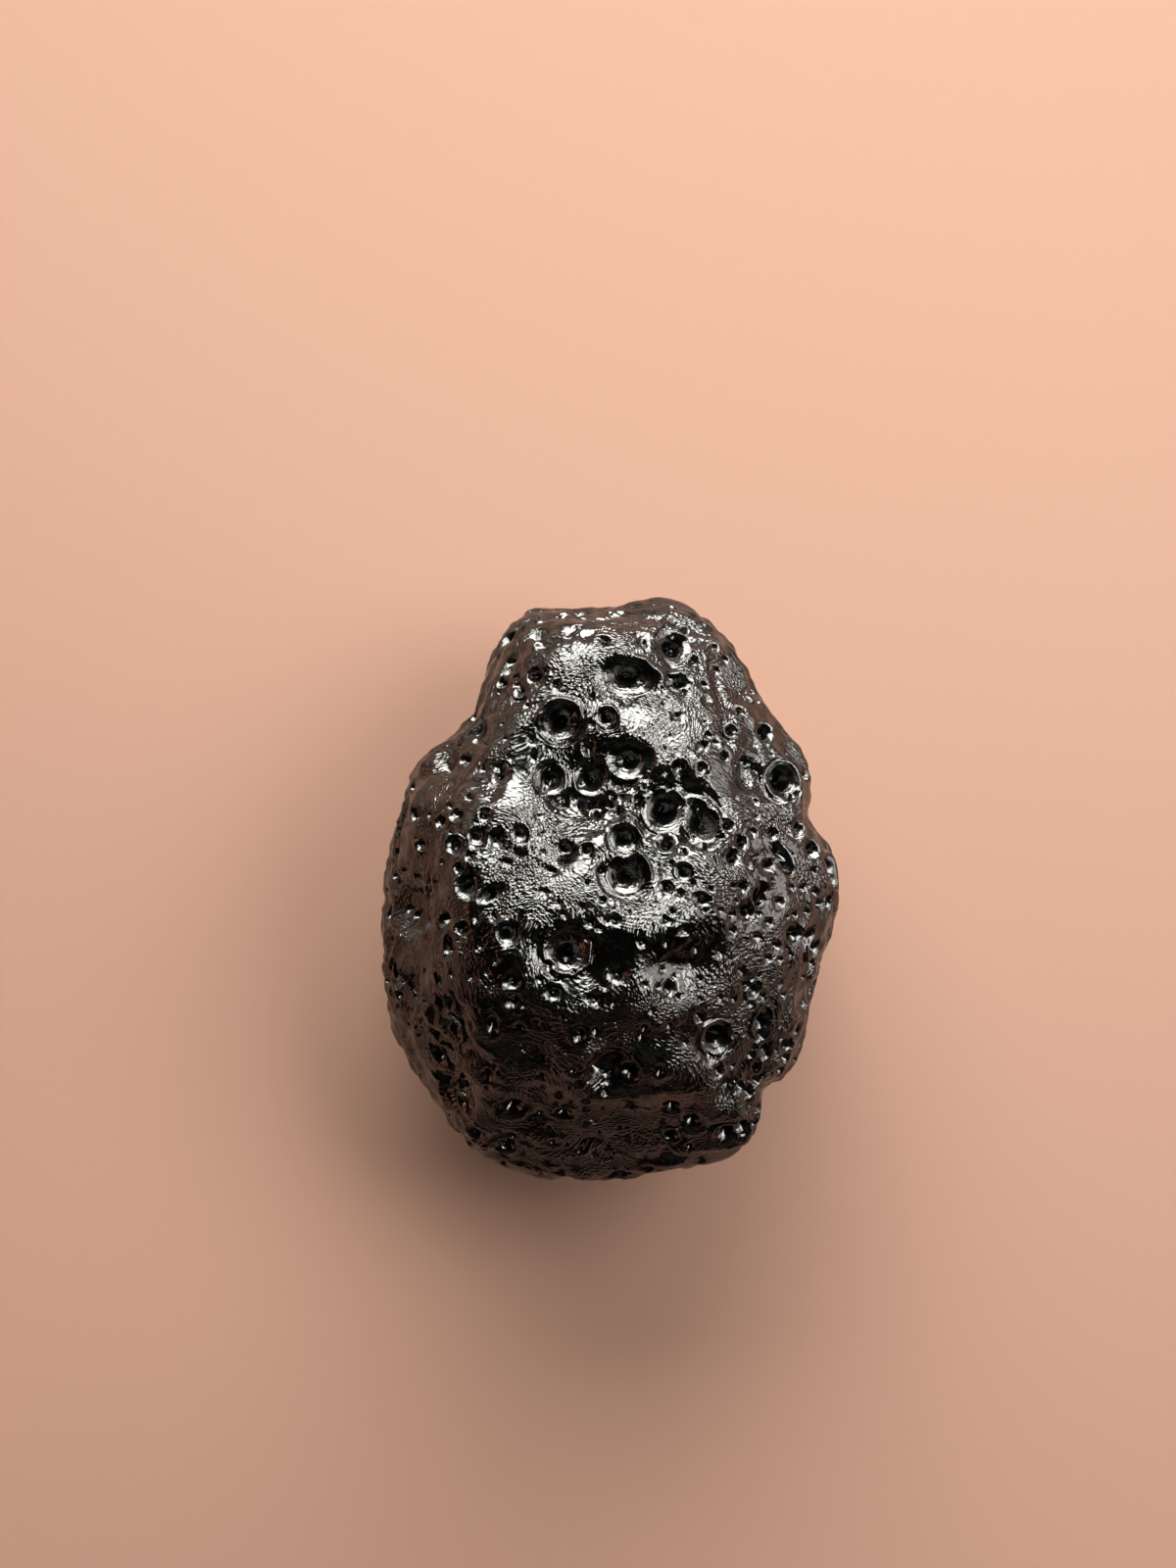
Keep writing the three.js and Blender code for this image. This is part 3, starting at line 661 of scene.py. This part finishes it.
def thinStone(stone):
    # the lower half is thinned first and the upper half then gets the triangles that are left
    for part in ("lower", "upper"):
        mesh = stone.data
        places = np.empty(len(mesh.vertices) * 3, dtype=np.float32)
        mesh.vertices.foreach_get("co", places)
        isLower = places[2::3] < meshBudget["halfLevel"] * stoneSize.z
        chosen = np.flatnonzero(isLower if part == "lower" else ~isLower)
        stone.vertex_groups.clear()
        stone.vertex_groups.new(name=part).add(chosen.tolist(), 1.0, "REPLACE")
        mesh.calc_loop_triangles()
        corners = np.empty(len(mesh.loop_triangles) * 3, dtype=np.int32)
        mesh.loop_triangles.foreach_get("vertices", corners)
        lowerCount = np.count_nonzero(isLower[corners[::3]])
        total = len(corners) // 3
        wanted = meshBudget["mostTriangles"]
        if part == "lower":
            wanted = total - lowerCount + meshBudget["lowerTriangles"]
        thin = stone.modifiers.new("thin", "DECIMATE")
        thin.vertex_group = part
        thin.ratio = min(1, wanted / total)
        bakeModifiers(stone)
        print(part, "half thinned,", total, "triangles to", len(stone.data.polygons), "faces")
    stone.vertex_groups.clear()


def makeStone():
    stone, surface = makeBlank()
    glass = makeGlass()
    seeds = pitSeeds(surface)
    applyTree(stone, reliefTree(), {**inMillimetres(relief), "Material": glass})
    applyTree(stone, carveTree(), {
        "Pits": seeds, "Count": len(seeds.data.vertices), "Rim Roll": facePits["rimRoll"],
        "Rim Reach": facePits["rimReach"], "Rim Wobble": facePits["rimWobble"],
        "Wobble Width": facePits["wobbleWidth"] * mm,
        "Dish Calm": facePits["dishCalm"], "Dish Lean": facePits["dishLean"],
        "Ringed Radius": facePits["ringedRadius"] * mm, "Material": glass,
    })
    bpy.data.objects.remove(seeds)
    for name, values in (("scatterFlankPits", flankPits), ("scatterSmallPits", smallPits)):
        applyTree(stone, scatterTree(name, values), {**inMillimetres(values), "Material": glass})
    thinStone(stone)
    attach(stone, "root")
    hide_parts("tektite")


makeStone()


# floor, light and camera

studio = {
    "floorColor": (0.155, 0.083, 0.059, 1),
    "floorRoughness": 0.8,
    "floorHalf": 400,  # mm
    "skyColor": (1.0, 0.96, 0.92, 1),
    "skyStrength": 0.01,
    "cameraLift": 140,  # mm from the widest outline up to the lens
    "outlineLevel": 0.46,  # share of the stone's height where its outline is widest
    "frameHeight": 51.3,  # mm seen from top to bottom at that level
    "aim": (-0.69, 3.51),  # mm, middle of the frame from the stone's middle
    "sensor": 36,  # mm
    "clip": (0.001, 10),  # m from the lens
    "lampSpread": 100,  # degrees, so that a lamp fades towards its edges and off the far floor
}

# each lamp: azimuth and elevation in degrees, distance, width and height in mm, radiance and colour
lamps = {
    "keySoftbox": (97, 34, 130, 130, 78, 28, (1.0, 0.985, 0.89)),
    "rightSoftbox": (21, 53, 140, 95, 70, 23, (1.0, 0.99, 0.92)),
    "lowSoftbox": (80, 20, 140, 130, 44, 30, (1.0, 0.98, 0.92)),
    "sidePanel": (8, 18, 150, 120, 75, 7, (1.0, 0.92, 0.83)),
    "leftPanel": (140, 14, 150, 110, 60, 2.4, (1.0, 0.84, 0.7)),
    "warmPanel": (188, 12, 150, 100, 45, 2.4, (1.0, 0.45, 0.28)),
    "footPanel": (265, 42, 150, 130, 70, 0.22, (1.0, 0.93, 0.86)),
}

# lamps in a ring that light the far floor, too narrow to reach the stone
floorLamps = {
    "count": 6,
    "away": 230,  # mm
    "lift": 200,
    "width": 120,
    "spread": 78,  # degrees
    "radiance": 30,
    "color": (1.0, 0.97, 0.93),
}


def makeFloor():
    bpy.ops.mesh.primitive_plane_add(size=2 * studio["floorHalf"] * mm)
    floor = bpy.context.object
    floor.name = "floor"
    paper = bpy.data.materials.new("palePaper")
    paper.use_nodes = True
    shader = paper.node_tree.nodes["Principled BSDF"]
    shader.inputs["Base Color"].default_value = studio["floorColor"]
    shader.inputs["Roughness"].default_value = studio["floorRoughness"]
    floor.data.materials.append(paper)


def towards(azimuth, elevation):
    turn, lift = math.radians(azimuth), math.radians(elevation)
    return Vector((math.cos(lift) * math.cos(turn), math.cos(lift) * math.sin(turn), math.sin(lift)))


def makeLamp(name, place, facing, width, height, spread, radiance, color):
    lamp = bpy.data.lights.new(name, "AREA")
    lamp.shape = "RECTANGLE"
    lamp.size = width * mm
    lamp.size_y = height * mm
    half = math.radians(spread) / 2
    focus = math.tan(half) / (math.tan(half) - half)  # how much a narrow spread brightens a lamp's axis
    lamp.spread = 2 * half
    lamp.energy = radiance * math.pi * lamp.size * lamp.size_y / focus
    lamp.color = color
    holder = bpy.data.objects.new(name, lamp)
    holder.location = place
    holder.rotation_euler = facing.to_track_quat("-Z", "Y").to_euler()
    scene.collection.objects.link(holder)


def makeLamps():
    up = Vector((0, 0, 1))
    for name, (azimuth, elevation, away, width, height, radiance, color) in lamps.items():
        direction = towards(azimuth, elevation)
        place = up * (stoneSize.z / 2) + direction * away * mm
        makeLamp(name, place, -direction, width, height, studio["lampSpread"], radiance, color)
    width = floorLamps["width"]
    for step in range(floorLamps["count"]):
        outwards = towards(360 * step / floorLamps["count"], 0)
        place = outwards * floorLamps["away"] + up * floorLamps["lift"]
        makeLamp("floorLamp" + str(step + 1), place * mm, -up, width, width,
                 floorLamps["spread"], floorLamps["radiance"], floorLamps["color"])


def makeCamera():
    lens = bpy.data.cameras.new("camera")
    lens.sensor_width = studio["sensor"]
    lens.lens = studio["sensor"] * studio["cameraLift"] / studio["frameHeight"]
    lens.clip_start, lens.clip_end = studio["clip"]
    camera = bpy.data.objects.new("camera", lens)
    aimX, aimY = studio["aim"]
    height = studio["outlineLevel"] * stoneSize.z + studio["cameraLift"] * mm
    camera.location = (aimX * mm, aimY * mm, height)
    scene.collection.objects.link(camera)
    scene.camera = camera


makeFloor()
makeLamps()
makeCamera()
world = bpy.data.worlds.new("studio")
world.use_nodes = True
world.node_tree.nodes["Background"].inputs["Color"].default_value = studio["skyColor"]
world.node_tree.nodes["Background"].inputs["Strength"].default_value = studio["skyStrength"]
scene.world = world
scene.view_settings.view_transform = "Standard"

print("studio set")
